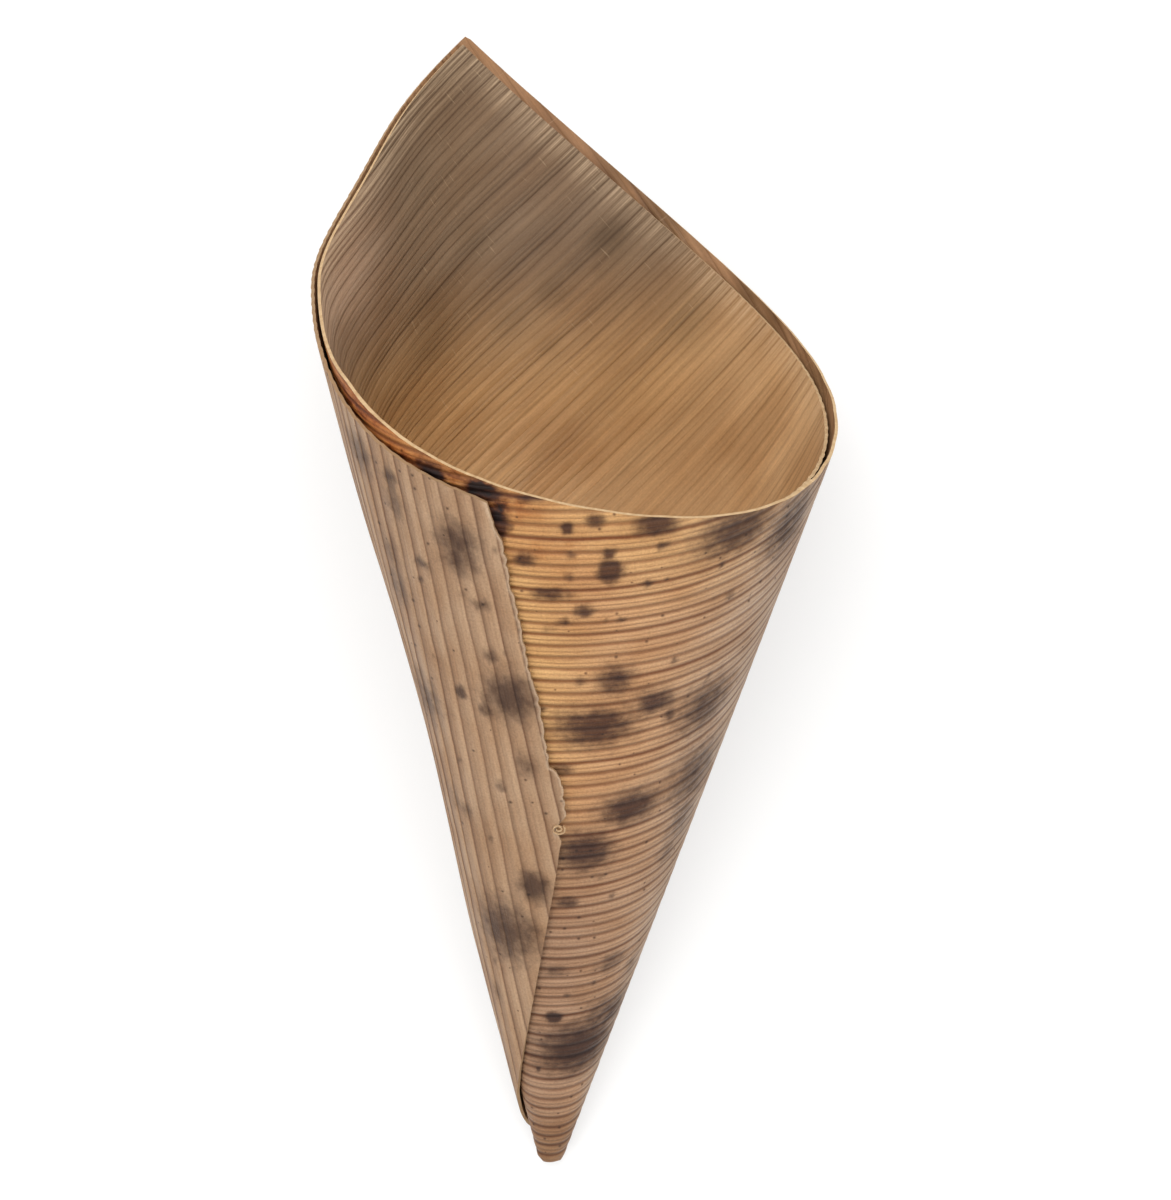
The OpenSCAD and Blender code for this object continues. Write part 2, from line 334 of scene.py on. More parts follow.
def spots(along, across, marks):
    """Strength of the marks at flat points, 1 in the middle and falling off softly."""
    found = np.zeros_like(along)
    for a, b, long, wide, strength in marks:
        away = ((along - a) / (long * 1.4)) ** 2 + ((across - b) / (wide * 1.35)) ** 2
        crisp = 1.7 if long < SMALL_BLOTCH else 1.1
        found = np.maximum(found, strength * np.exp(-0.75 * away ** crisp))
    return found


def falling(value, near, far):
    """1 up to near, 0 from far on, and smooth between."""
    t = np.clip((value - near) / (far - near), 0, 1)
    return 1 - t * t * (3 - 2 * t)


def outer_marks(along, across):
    """Dark blotch, scorch and pale margin."""
    pale = falling(across - margin(along), 0.10, 0.40) * (along > 60) * (across < 0)
    return np.stack([spots(along, across, OUTER_BLOTCHES), spots(along, across, SCORCHED),
                     pale, np.ones_like(along)], axis=-1)


def inner_marks(along, across):
    """Greenish smudge, depth of the painted shade in the pleats, and pale fibres by the left edge
    and rim.
    """
    far = falling(np.hypot(along, across), 84, 126)
    pale = np.maximum(falling(BACK_EDGE - across, 0.3, 5.0),
                      0.8 * falling(depth_from(INNER_CUT, along, across), 0.3, 4.5))
    return np.stack([spots(along, across, INNER_SMUDGES), 1 - 0.80 * far, pale,
                     np.ones_like(along)], axis=-1)


print("marks at one blotch:", np.round(outer_marks(np.array([9.9]), np.array([103.1])), 2))

# %% [markdown]
# One helper turns a colour as it looks on a screen into the linear values that Blender
# mixes, and one lays a colour over a painted ground.

# %% Helpers for colours


def colour(hex_value):
    """Linear colour from sRGB hex."""
    parts = [int(hex_value[i:i + 2], 16) / 255 for i in (1, 3, 5)]
    return [v / 12.92 if v <= 0.04045 else ((v + 0.055) / 1.055) ** 2.4
            for v in parts] + [1.0]


def laid_over(ground, share, hex_value):
    """The ground with a colour laid over it, by a share from 0 to 1 at each point."""
    return ground * (1 - share[:, None]) + np.array(colour(hex_value)) * share[:, None]


print("mid grey, linear:", round(colour("#808080")[0], 3))

# %% [markdown]
# The ground colour changes slowly over the leaf. Outside, it is golden on the layer that
# the flap has kept covered, with a painted orange glow of light shining through the thin
# leaf close to the flap and the rim, and greyer where light and handling have weathered
# it. Inside, it is grey-brown with painted shade at the thick far end, and painted light
# makes it warmer lower down and on the right. A few soft areas, laid over each other like
# washes of paint, are easier to steer than one noise.

# %% Paint: ground colours
WEATHERED, GOLDEN, LOWER_GOLDEN = "#ab937c", "#bd9166", "#a17f63"
# The orange is a painted glow of light shining through the thin leaf.
PAINTED_GLOW_ORANGE, SCORCHED_STRIP, FLAP_TAN, TIP_BROWN = "#cda167", "#bd8449", "#a8896b", "#8a6748"
# Lining tones: the grey is painted shade at the far end, and the warm, low and right tones are
# painted light.
PAINTED_SHADE_LINING_GREY, PAINTED_LIGHT_LINING_WARM, PAINTED_LIGHT_LINING_LOW = "#796149", "#b08656", "#caa071"
PAINTED_LIGHT_LINING_RIGHT, LINING_LEFT, LINING_BAND = "#cfa678", "#b3947a", "#9a7452"
print("tones of the skin:", WEATHERED, GOLDEN, FLAP_TAN)

# %% Paint: ground of the outer face


def outer_ground(along, across):
    """Linear colour of the skin with its painted glow, before its ribs and stains."""
    turn, distance = flat_angle(along, across) / TURN, np.hypot(along, across)
    ground = np.tile(colour(WEATHERED), (len(along), 1))
    front = falling(np.abs(turn - 1.08), 0.10, 0.28)
    ground = laid_over(ground, front, GOLDEN)
    ground = laid_over(ground, front * falling(distance, 45, 80), LOWER_GOLDEN)
    # Painted glow: orange of light shining through the thin leaf by the flap's edge and the rim
    glow = falling(np.abs(turn - 1.09), 0.05, 0.13) * (1 - falling(distance, 50, 85))
    to_rim = depth_from(RIM_CUT, along, across)
    by_rim = falling(to_rim, 2, 16) * front
    ground = laid_over(ground, np.maximum(0.75 * glow, 0.6 * by_rim), PAINTED_GLOW_ORANGE)
    strip = (1 - falling(turn, 1.06, 1.12)) * falling(to_rim, 4, 12)
    ground = laid_over(ground, strip, SCORCHED_STRIP)
    ground = laid_over(ground, falling(turn, 0.40, 0.60), FLAP_TAN)
    return laid_over(ground, falling(distance, 8, 20), TIP_BROWN)


print("ground at the front:", np.round(outer_ground(np.array([20.0]), np.array([90.0])), 2))

# %% Paint: ground of the inner face


def inner_ground(along, across):
    """Linear colour of the lining with its painted light and shade, before its pleats and
    smudges.
    """
    turn, distance = flat_angle(along, across) / TURN, np.hypot(along, across)
    ground = np.tile(colour(PAINTED_SHADE_LINING_GREY), (len(along), 1))
    # Painted light: warmer lower down and on the right, over the painted shade of the far end
    ground = laid_over(ground, falling(distance - 30 * (turn - 1.45), 106, 130), PAINTED_LIGHT_LINING_WARM)
    ground = laid_over(ground, falling(distance, 86, 112), PAINTED_LIGHT_LINING_LOW)
    ground = laid_over(ground, 1 - falling(turn, 1.54, 1.68), PAINTED_LIGHT_LINING_RIGHT)
    left = falling(turn, 1.27, 1.38) * (1 - falling(distance, 114, 130))
    ground = laid_over(ground, left, LINING_LEFT)
    return laid_over(ground, falling(turn, 1.0, 1.15), LINING_BAND)


print("ground inside:", np.round(inner_ground(np.array([-60.0]), np.array([90.0])), 2))

# %% [markdown]
# The sheet as a mesh. Rows of points run along the ribs, close enough together for the
# relief of each rib, and every row ends exactly on the cut edges. Near the tip the leaf
# is rolled tightly, so points stand closer there. Neighbouring rows are zipped together
# with triangles. A grid with a solidify modifier would be quicker, but its steps would
# show along the slanting cuts.

# %% Rows of points
ROW_STEP = 0.44
ALONG_STEP = 1.75
FOLD_STEP = 0.035
MARGIN_ROWS = (0, 0.22, 0.46, 0.78)
FIRST_ROW = 1.1


def key(along, across):
    """A number that grows evenly along a row, faster where the leaf is rolled tightly."""
    near = np.maximum(np.abs(across), 0.5)
    return along / ALONG_STEP + np.arctan(along / near) / FOLD_STEP


def row_points(across):
    """Keys and places along one row."""
    left, right = rib_ends(across)
    fine = np.linspace(left, right, 1500)
    keys = key(fine, across)
    whole = np.arange(math.ceil(keys[0] + 0.35), math.floor(keys[-1] - 0.35) + 1)
    places = list(whole)
    for a, b, long, wide in OUTER_BLOTCHES[:, :4]:
        if long < SMALL_BLOTCH and abs(across - b) < wide * 1.6:
            here = np.interp([a - long * 1.6, a + long * 1.6], fine, keys)
            places += [k + 0.5 for k in whole if here[0] < k + 0.5 < here[1]]
    if across < -FREE_EDGE + 1.2:
        places = list(np.arange(whole[0], whole[-1] + 0.01, 0.25))
    places = sorted(set(places))
    return (np.array([keys[0]] + places + [keys[-1]]),
            np.interp([keys[0]] + places + [keys[-1]], keys, fine))


near_edge = [-FREE_EDGE + inward for inward in MARGIN_ROWS]
others = np.linspace(-FREE_EDGE + FIRST_ROW, BACK_EDGE,
                     round((BACK_EDGE + FREE_EDGE - FIRST_ROW) / ROW_STEP) + 1)
row_across = np.array(near_edge + list(others))
rows = [row_points(b) for b in row_across]
print(len(rows), "rows,", sum(len(r[0]) for r in rows), "points on each face")

# %% Flat places of all points
starts = np.concatenate([[0], np.cumsum([len(r[0]) for r in rows])])
along = np.concatenate([r[1] for r in rows])
across = np.concatenate([np.full(len(r[0]), b) for r, b in zip(rows, row_across)])
torn = (margin(along) + FREE_EDGE) * np.exp(-(across + FREE_EDGE) / 0.9)
across = across + torn * (along > 55)
count = rib_count(along, across)
print("ribs counted from", round(float(count.min())), "to", round(float(count.max())))

# %% Zip the rows together


def zipped():
    """Triangles between neighbouring rows, by which next point comes first."""
    found = []
    for k in range(len(rows) - 1):
        low, high, i, j = rows[k][0], rows[k + 1][0], 0, 0
        while i + j < len(low) + len(high) - 2:
            step_low = j == len(high) - 1 or (i < len(low) - 1 and low[i + 1] < high[j + 1])
            if step_low:
                found.append((starts[k] + i, starts[k] + i + 1, starts[k + 1] + j))
                i += 1
            else:
                found.append((starts[k] + i, starts[k + 1] + j + 1, starts[k + 1] + j))
                j += 1
    return np.array(found)


triangles = zipped()
ring = np.concatenate([np.arange(starts[0], starts[1]),
                       starts[2:-1] - 1,
                       np.arange(starts[-1] - 1, starts[-2] - 1, -1),
                       starts[-3:0:-1]])
print(len(triangles), "triangles on each face,", len(ring), "points round the edge")

# %% [markdown]
# Both faces and the cut edge become one closed mesh with three materials: the blotchy
# outer face, the plain inner face and the pale cut edge. The corners of the cut stay
# sharp, because a knife leaves them so.

# %% Sheet mesh
points = len(along)
half = LEAF_THICKNESS / 2
relief = rib_relief(count, lap_share(along, across)[:, 0])
low = 1 - 0.9 * by_back_edge(across) * np.clip(-along / 15, 0, 1)
thin = 1 - 0.5 * np.exp(-np.maximum(across - margin(along), 0) / 0.25) * (across < 0)
outer = rolled(along, across, half * thin + relief)
inner = rolled(along, across, -half + relief * low)
following = np.roll(ring, -1)
edge_strip = np.concatenate([
    np.stack([following, ring, ring + points], axis=1),
    np.stack([following, ring + points, following + points], axis=1)])
faces = np.concatenate([triangles, triangles[:, ::-1] + points, edge_strip])

mesh = bpy.data.meshes.new("leaf_sheet")
mesh.from_pydata(np.concatenate([outer, inner]).tolist(), [], faces.tolist())
slots = np.concatenate([np.zeros(len(triangles)), np.ones(len(triangles)),
                        np.full(len(edge_strip), 2)]).astype(np.int32)
mesh.polygons.foreach_set("material_index", slots)
mesh.polygons.foreach_set("use_smooth", np.ones(len(faces), dtype=bool))
print("faces:", len(faces))

# %% Sharp cut edges
on_ring = set()
for u, v in zip(ring.tolist(), following.tolist()):
    on_ring.add((min(u, v), max(u, v)))
    on_ring.add((min(u, v) + points, max(u, v) + points))
edge_ends = np.zeros(len(mesh.edges) * 2, dtype=np.int32)
mesh.edges.foreach_get("vertices", edge_ends)
sharp = mesh.attributes.new("sharp_edge", "BOOLEAN", "EDGE")
sharp.data.foreach_set("value", [(min(u, v), max(u, v)) in on_ring
                                 for u, v in edge_ends.reshape(-1, 2).tolist()])
print("sharp edges:", len(on_ring))

# %% [markdown]
# Each corner of the mesh also gets its flat place as a UV: along the ribs in
# millimetres, and the rib count. The finish draws everything from these two numbers,
# so its lines run as the fibres of the leaf do, right round the cone.

# %% Flat places and paint on the mesh
corner_points = np.zeros(len(mesh.loops), dtype=np.int32)
mesh.loops.foreach_get("vertex_index", corner_points)
corner_points[6 * len(triangles):] %= points
uv = mesh.uv_layers.new(name="flat_leaf")
counts = np.concatenate([count, count + fanned(along, across)])
uv.data.foreach_set("uv", np.stack([np.tile(along, 2), counts], axis=1)[corner_points].ravel())
for name, outside, inside in (
        ("marks", outer_marks(along, across), inner_marks(along, across)),
        ("ground", outer_ground(along, across), inner_ground(along, across)),
        ("laps", lap_share(along, across), lap_share(along, across))):
    painted = mesh.color_attributes.new(name, "FLOAT_COLOR", "POINT")
    painted.data.foreach_set("color", np.concatenate([outside, inside])
                             .astype(np.float32).ravel())
    print(name, "mean outside:", np.round(outside.mean(axis=0), 3))
mesh.update()

# %% [markdown]
# One helper adds a node with its settings and links, so that each finish reads as a list
# of what is laid over what. Another starts an empty material on the sheet.

# %% Helpers for the finishes


def add(tree, kind, inputs, stops=(), **settings):
    """Adds a node; each input is a constant, a node (its first output) or an output.
    The stops of a colour ramp are pairs of a place and a brightness, from 0 to 1."""
    new = tree.nodes.new("ShaderNode" + kind)
    for name, value in settings.items():
        setattr(new, name, value)
    for i, (place, brightness) in enumerate(stops):
        held = new.color_ramp.elements
        stop = held[0] if i == 0 else held[-1] if i == len(stops) - 1 else held.new(place)
        stop.color = (brightness, brightness, brightness, 1)
    for name, value in inputs.items():
        if isinstance(value, bpy.types.Node):
            value = value.outputs[0]
        if isinstance(value, bpy.types.NodeSocket):
            tree.links.new(value, new.inputs[name])
        else:
            new.inputs[name].default_value = colour(value) if isinstance(value, str) else value
    return new


def finish_tree(name):
    """A new empty material on the sheet, and its node tree."""
    material = bpy.data.materials.new(name)
    material.use_nodes = True
    material.node_tree.nodes.clear()
    mesh.materials.append(material)
    return material.node_tree


# Sockets of the colour Mix node: share, colour below, colour above, result
SHARE, BELOW, ABOVE, RESULT = 0, 6, 7, 2
print("helpers:", add.__name__, finish_tree.__name__)

# %% [markdown]
# The outer face is dried bamboo sheath: a tough, silky skin over long fibres, matt with
# a slight sheen. Its fibres, its slow changes of tone and its grain of cells are three
# noises, each stretched along the ribs by its real size. An image would be quicker, but
# drawn ones stay sharp at any distance and follow the rolled leaf.

# %% Outer finish: fibres, patches and grain
skin = finish_tree("dried_bamboo_sheath_skin")
flat = add(skin, "UVMap", {}, uv_map="flat_leaf")
marks = add(skin, "SeparateColor", {"Color": add(skin, "VertexColor", {}, layer_name="marks")})
laps = add(skin, "VertexColor", {}, layer_name="laps")
ground = add(skin, "VertexColor", {}, layer_name="ground")
blotch, scorch, pale_margin = marks.outputs

# Fibres: 0.3 mm wide and 15 mm long
fibres = add(skin, "TexNoise", {"Scale": 1.0, "Detail": 4.0, "Roughness": 0.62, "Vector": add(
    skin, "Mapping", {"Vector": flat, "Scale": (0.07, 5.0, 1.0)})})
# Patches: 4 mm wide and 8 mm long
patches = add(skin, "TexNoise", {"Scale": 1.0, "Detail": 3.0, "Roughness": 0.55, "Vector": add(
    skin, "Mapping", {"Vector": flat, "Scale": (0.12, 0.45, 1.0), "Location": (7.0, 3.0, 0.0)})})
# Mould: the ragged edges of the blotches, 1 mm wide and 1.5 mm long
mould = add(skin, "TexNoise", {"Scale": 1.0, "Detail": 3.0, "Roughness": 0.6, "Vector": add(
    skin, "Mapping", {"Vector": flat, "Scale": (0.65, 1.5, 1.0)})})
# Grain: the cells of the skin, 0.2 mm, drawn a little coarser than they are
grain = add(skin, "TexNoise", {"Scale": 1.0, "Detail": 2.0, "Roughness": 0.7, "Vector": add(
    skin, "Mapping", {"Vector": flat, "Scale": (3.2, 6.5, 1.0)})})
print("texture nodes:", len(skin.nodes))

# %% [markdown]
# The ribs. Each is a round ridge between two dark grooves, with one faint line on its
# back. The dark lines are the leaf's own; the ridges are painted lighter as a highlight
# and the grooves darker with painted shade. On the flap the leaf is thicker and its ribs
# look like laps: each is painted bright at one side, darkens slowly, and ends in a thin
# painted shadow, as light falling from one side shows them. Both profiles are written
# down as brightness over the width of one rib, and the grooves wander a little with the
# fibres.

# %% Outer finish: profile of a rib
# Brightness across one rib: the leaf's dark lines with a painted highlight on the ridge and
# painted shade in the grooves; on the flap, painted light and shade of the laps
ROUND_RIB_LINES_AND_SHADING = [(0.0, 0.0), (0.08, 0.10), (0.20, 0.74), (0.31, 1.0), (0.42, 0.88), (0.50, 0.58),
             (0.58, 0.86), (0.69, 1.0), (0.81, 0.72), (0.92, 0.12), (1.0, 0.0)]
LAP_RIB_PAINTED_SHADING = [(0.0, 0.0), (0.05, 0.70), (0.12, 1.0), (0.35, 0.88), (0.55, 0.76), (0.62, 0.60),
           (0.70, 0.66), (0.88, 0.42), (0.96, 0.16), (1.0, 0.0)]
wander = add(skin, "MapRange", {"Value": patches, "From Min": 0.3, "From Max": 0.7,
                                "To Min": -0.05, "To Max": 0.05})
leaf = add(skin, "SeparateXYZ", {"Vector": flat})
rib_place = add(skin, "Math", {0: leaf.outputs["Y"], 1: wander}, operation="ADD")
in_rib = add(skin, "Math", {0: rib_place}, operation="FRACT")
round_rib = add(skin, "ValToRGB", {"Fac": in_rib}, stops=ROUND_RIB_LINES_AND_SHADING)
lap_rib = add(skin, "ValToRGB", {"Fac": in_rib}, stops=LAP_RIB_PAINTED_SHADING)
rib = add(skin, "Mix", {SHARE: laps, BELOW: round_rib, ABOVE: lap_rib}, data_type="RGBA")
rib_luck = add(skin, "TexWhiteNoise", {"W": add(skin, "Math", {0: rib_place}, operation="ROUND")},
               noise_dimensions="1D")
groove_strength = add(skin, "MapRange", {"Value": rib_luck, "To Min": 0.62, "To Max": 1.0})
groove_fading = add(skin, "MapRange", {"Value": fibres, "From Min": 0.35, "From Max": 0.6,
                                       "To Min": 0.8, "To Max": 1.0})
depth = add(skin, "Math", {0: 1.0, 1: rib.outputs[RESULT]}, operation="SUBTRACT")
depth = add(skin, "Math", {0: depth, 1: groove_strength}, operation="MULTIPLY")
depth = add(skin, "Math", {0: depth, 1: groove_fading}, operation="MULTIPLY")
print("with ribs:", len(skin.nodes))

# %% [markdown]
# Colours are laid over each other in the order in which they came on the leaf. Blotches
# and scorch darken what is under them, as stains do, and the grooves darken it with their
# dark lines and painted shade, so they are multiplied in. A stain that was mixed in
# instead would hide the ribs and lie on the leaf like paint.

# %% Outer finish: stains
patch_tone = add(skin, "MapRange", {"Value": patches, "From Min": 0.35, "From Max": 0.7,
                                    "To Min": 0.0, "To Max": 0.62})
paint = add(skin, "Mix", {SHARE: patch_tone, BELOW: ground, ABOVE: "#dcc9b4"},
            data_type="RGBA", blend_type="MULTIPLY")
scorching = add(skin, "Math", {0: scorch, 1: add(skin, "Math", {0: mould, 1: 1.7},
                                                 operation="MULTIPLY")}, operation="MULTIPLY")
paint = add(skin, "Mix", {SHARE: add(skin, "Clamp", {"Value": scorching}),
                          BELOW: paint.outputs[RESULT], ABOVE: "#c48d48"},
            data_type="RGBA", blend_type="MULTIPLY")
charred = add(skin, "MapRange", {"Value": scorching, "From Min": 0.72, "From Max": 1.20,
                                 "To Min": 0.0, "To Max": 0.88})
paint = add(skin, "Mix", {SHARE: charred, BELOW: paint.outputs[RESULT], ABOVE: "#4a342a"},
            data_type="RGBA", blend_type="MULTIPLY")
# Grooves: the leaf's dark lines with painted shade, and on the flap the painted shading of the
# laps
paint = add(skin, "Mix", {SHARE: depth, BELOW: paint.outputs[RESULT], ABOVE: "#875b31"},
            data_type="RGBA", blend_type="MULTIPLY")
ragged = add(skin, "MapRange", {"Value": mould, "To Min": -0.34, "To Max": 0.34})
ragged = add(skin, "Math", {0: blotch, 1: ragged}, operation="ADD")
fringe = add(skin, "MapRange", {"Value": fibres, "To Min": -0.13, "To Max": 0.13})
ragged = add(skin, "Math", {0: ragged, 1: fringe}, operation="ADD")
stain = add(skin, "MapRange", {"Value": ragged, "From Min": 0.08, "From Max": 0.88,
                               "To Min": 0.0, "To Max": 1.0}, interpolation_type="SMOOTHSTEP")
faint = add(skin, "MapRange", {"Value": laps, "To Min": 1.0, "To Max": 0.92})
stain = add(skin, "Math", {0: stain, 1: faint}, operation="MULTIPLY")
paint = add(skin, "Mix", {SHARE: stain, BELOW: paint.outputs[RESULT], ABOVE: "#6d5c57"},
            data_type="RGBA", blend_type="MULTIPLY")
print("with stains:", len(skin.nodes))

# %% Outer finish: freckles and pale margin
freckles = add(skin, "TexVoronoi", {"Scale": 1.0, "Randomness": 1.0, "Vector": add(
    skin, "Mapping", {"Vector": flat, "Scale": (0.55, 1.0, 1.0)})}, voronoi_dimensions="2D")
freckle_luck = add(skin, "SeparateColor", {"Color": freckles.outputs["Color"]})
freckle_here = add(skin, "Math", {0: freckle_luck, 1: 0.13}, operation="LESS_THAN")
freckle_size = add(skin, "MapRange", {"Value": freckle_luck.outputs[1], "To Min": 0.06,
                                      "To Max": 0.22})
freckle = add(skin, "MapRange", {"Value": freckles, "From Min": 0.02, "From Max": freckle_size,
                                 "To Min": 0.85, "To Max": 0.0}, interpolation_type="SMOOTHSTEP")
freckle = add(skin, "Math", {0: freckle, 1: freckle_here}, operation="MULTIPLY")
paint = add(skin, "Mix", {SHARE: freckle, BELOW: paint.outputs[RESULT], ABOVE: "#7d6a60"},
            data_type="RGBA", blend_type="MULTIPLY")
paint = add(skin, "Mix", {SHARE: add(skin, "Math", {0: pale_margin, 1: 0.7},
                                     operation="MULTIPLY"),
                          BELOW: paint.outputs[RESULT], ABOVE: "#b99f84"}, data_type="RGBA")
fibre_tone = add(skin, "MapRange", {"Value": fibres, "From Min": 0.3, "From Max": 0.7,
                                    "To Min": 0.84, "To Max": 1.14})
grain_tone = add(skin, "MapRange", {"Value": grain, "From Min": 0.3, "From Max": 0.7,
                                    "To Min": 0.86, "To Max": 1.14})
tone = add(skin, "Math", {0: fibre_tone, 1: grain_tone}, operation="MULTIPLY")
toned = add(skin, "VectorMath", {0: paint.outputs[RESULT], "Scale": tone}, operation="SCALE")
print("with freckles:", len(skin.nodes))

# %% Outer finish: relief and sheen
fine = add(skin, "Math", {0: add(skin, "Math", {0: fibres, 1: grain}, operation="ADD"), 1: 0.35},
           operation="MULTIPLY")
height = add(skin, "Math", {0: rib.outputs[RESULT], 1: fine}, operation="ADD")
relief_bump = add(skin, "Bump", {"Strength": 0.8, "Distance": 0.00022, "Height": height})
sheen = add(skin, "MapRange", {"Value": patches, "From Min": 0.3, "From Max": 0.7,
                               "To Min": 0.52, "To Max": 0.68})
surface = add(skin, "BsdfPrincipled", {"Base Color": toned, "Roughness": sheen,
                                       "Normal": relief_bump, "Specular IOR Level": 0.3})
add(skin, "OutputMaterial", {"Surface": surface})
print("outer finish nodes:", len(skin.nodes))

# %% [markdown]
# The inner face is the smooth side of the sheath, a little silky. Soft stripes show where
# the ribs lie: painted shade in the grooves of the pleats and a painted highlight on their
# ridges, with the painted shade deeper at the far, thick end. A blotch shows through as a
# faint greenish smudge, short creases cross the fibres, and by the cut rim and the left
# edge single fibres have dried pale.

# %% Inner finish: fibres and pleats
lining = finish_tree("dried_bamboo_sheath_lining")
flat = add(lining, "UVMap", {}, uv_map="flat_leaf")
marks = add(lining, "SeparateColor", {"Color": add(lining, "VertexColor", {},
                                                   layer_name="marks")})
ground = add(lining, "VertexColor", {}, layer_name="ground")
smudge, pleat_shade_depth, pale_fibres = marks.outputs
fibres = add(lining, "TexNoise", {"Scale": 1.0, "Detail": 4.0, "Roughness": 0.6, "Vector": add(
    lining, "Mapping", {"Vector": flat, "Scale": (0.05, 3.6, 1.0)})})
patches = add(lining, "TexNoise", {"Scale": 1.0, "Detail": 3.0, "Vector": add(
    lining, "Mapping", {"Vector": flat, "Scale": (0.06, 0.20, 1.0)})})
grain = add(lining, "TexNoise", {"Scale": 1.0, "Detail": 2.0, "Roughness": 0.7, "Vector": add(
    lining, "Mapping", {"Vector": flat, "Scale": (2.2, 5.0, 1.0)})})
# Brightness across one pleat: painted shade in the grooves and painted highlight on the ridges
ONE_PLEAT_PAINTED_SHADING = [(0.0, 0.0), (0.06, 0.30), (0.18, 0.62), (0.45, 1.0), (0.62, 0.92), (0.85, 0.60),
             (0.95, 0.25), (1.0, 0.0)]
TWO_PLEATS_PAINTED_SHADING = [(0.0, 0.0), (0.05, 0.22), (0.13, 0.70), (0.28, 1.0), (0.42, 0.74), (0.50, 0.25),
              (0.58, 0.66), (0.72, 0.92), (0.90, 0.55), (1.0, 0.0)]
wander = add(lining, "MapRange", {"Value": patches, "From Min": 0.3, "From Max": 0.7,
                                  "To Min": -0.10, "To Max": 0.10})
leaf = add(lining, "SeparateXYZ", {"Vector": flat})
rib_place = add(lining, "Math", {0: leaf.outputs["Y"], 1: wander}, operation="ADD")
in_rib = add(lining, "Math", {0: rib_place}, operation="FRACT")
pleat_luck = add(lining, "TexWhiteNoise", {"W": add(lining, "Math", {0: rib_place},
                                                    operation="FLOOR")},
                 noise_dimensions="1D")
one = add(lining, "ValToRGB", {"Fac": in_rib}, stops=ONE_PLEAT_PAINTED_SHADING)
two = add(lining, "ValToRGB", {"Fac": in_rib}, stops=TWO_PLEATS_PAINTED_SHADING)
pleat = add(lining, "Mix", {SHARE: pleat_luck, BELOW: one, ABOVE: two}, data_type="RGBA")
pleat = pleat.outputs[RESULT]
print("inner texture nodes:", len(lining.nodes))

# %% Inner finish: stripes
groove_luck = add(lining, "TexWhiteNoise", {"W": add(lining, "Math", {0: rib_place},
                                                     operation="ROUND")},
                  noise_dimensions="1D")
pleat_strength = add(lining, "MapRange", {"Value": groove_luck, "To Min": 0.22, "To Max": 0.88})
# Pleats: painted shade in the grooves, deeper at the far end, which leaves the ridges lighter
depth = add(lining, "Math", {0: 1.0, 1: pleat}, operation="SUBTRACT")
depth = add(lining, "Math", {0: depth, 1: pleat_strength}, operation="MULTIPLY")
depth = add(lining, "Math", {0: depth, 1: pleat_shade_depth}, operation="MULTIPLY")
paint = add(lining, "Mix", {SHARE: depth, BELOW: ground, ABOVE: "#a59278"},
            data_type="RGBA", blend_type="MULTIPLY")
patch_tone = add(lining, "MapRange", {"Value": patches, "From Min": 0.35, "From Max": 0.7,
                                      "To Min": 0.0, "To Max": 0.8})
paint = add(lining, "Mix", {SHARE: patch_tone, BELOW: paint.outputs[RESULT],
                            ABOVE: "#ddd0bf"}, data_type="RGBA", blend_type="MULTIPLY")
smudged = add(lining, "Math", {0: smudge, 1: 0.75}, operation="MULTIPLY")
paint = add(lining, "Mix", {SHARE: smudged, BELOW: paint.outputs[RESULT],
                            ABOVE: "#b5ad92"}, data_type="RGBA", blend_type="MULTIPLY")
print("with stripes:", len(lining.nodes))

# %% Inner finish: pale fibres and creases
dry = add(lining, "MapRange", {"Value": fibres, "From Min": 0.38, "From Max": 0.70,
                               "To Min": 0.0, "To Max": 0.75})
dry = add(lining, "Math", {0: dry, 1: pale_fibres}, operation="MULTIPLY")
dry = add(lining, "Math", {0: dry, 1: pleat}, operation="MULTIPLY")
paint = add(lining, "Mix", {SHARE: dry, BELOW: paint.outputs[RESULT], ABOVE: "#c7ae8e"},
            data_type="RGBA")
creases = add(lining, "TexNoise", {"Scale": 1.0, "Detail": 1.0, "Vector": add(
    lining, "Mapping", {"Vector": flat, "Scale": (3.0, 0.35, 1.0)})})
crease = add(lining, "MapRange", {"Value": creases, "From Min": 0.70, "From Max": 0.78,
                                  "To Min": 0.0, "To Max": 0.18})
paint = add(lining, "Mix", {SHARE: crease, BELOW: paint.outputs[RESULT], ABOVE: "#c9ad88"},
            data_type="RGBA")
fibre_tone = add(lining, "MapRange", {"Value": fibres, "From Min": 0.3, "From Max": 0.7,
                                      "To Min": 0.84, "To Max": 1.14})
grain_tone = add(lining, "MapRange", {"Value": grain, "From Min": 0.3, "From Max": 0.7,
                                      "To Min": 0.93, "To Max": 1.07})
tone = add(lining, "Math", {0: fibre_tone, 1: grain_tone}, operation="MULTIPLY")
rib_tone = add(lining, "MapRange", {"Value": pleat_luck, "To Min": 1.07, "To Max": 0.93})
tone = add(lining, "Math", {0: tone, 1: rib_tone}, operation="MULTIPLY")
toned = add(lining, "VectorMath", {0: paint.outputs[RESULT], "Scale": tone},
            operation="SCALE")
print("with pale fibres:", len(lining.nodes))

# %% Inner finish: relief
height = add(lining, "Math", {0: pleat, 1: fibres}, operation="ADD")
lining_bump = add(lining, "Bump", {"Strength": 0.7, "Distance": 0.00013, "Height": height})
surface = add(lining, "BsdfPrincipled", {"Base Color": toned, "Roughness": 0.6,
                                         "Normal": lining_bump,
                                         "Specular IOR Level": 0.3})
add(lining, "OutputMaterial", {"Surface": surface})
print("inner finish nodes:", len(lining.nodes))

# %% [markdown]
# The cut edge shows the pith of the leaf, which is pale and dry, with the ends of the
# fibres as small darker dots. Round the flap it has been handled and is browner.

